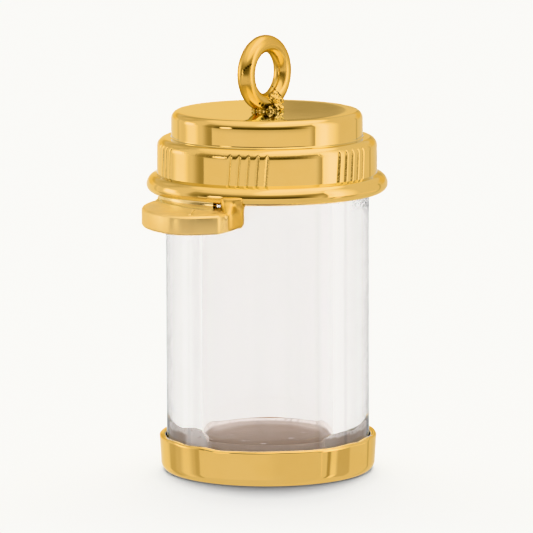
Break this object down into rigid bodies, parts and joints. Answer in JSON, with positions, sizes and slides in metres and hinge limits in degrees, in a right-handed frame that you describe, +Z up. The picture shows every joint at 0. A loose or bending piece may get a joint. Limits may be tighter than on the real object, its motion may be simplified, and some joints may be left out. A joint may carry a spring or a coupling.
{
  "type": "pill bottle pendant",
  "caption": "Small pendant in the form of a pill bottle: a clear tube between a stepped, reeded cap with a bail ring and thumb tab, and a shallow base cup it stands on.",
  "frame": {"origin": "centre of the base cup's flat underside", "axes": "+Z up along the tube to the bail ring, -Y towards the front, as pictured, +X to the picture's right"},
  "size_m": [0.0134, 0.0152, 0.0239],
  "materials": {
    "yellow_metal": "high polish, yellow gold colour",
    "clear_acrylic": "clear, polished",
    "taupe_plug": "satin, opaque"
  },
  "bodies": {
    "root": {"cap_with_bail": "yellow_metal", "clear_tube": "clear_acrylic", "floor_plug": "taupe_plug", "base_cup": "yellow_metal"}
  },
  "joints": []
}
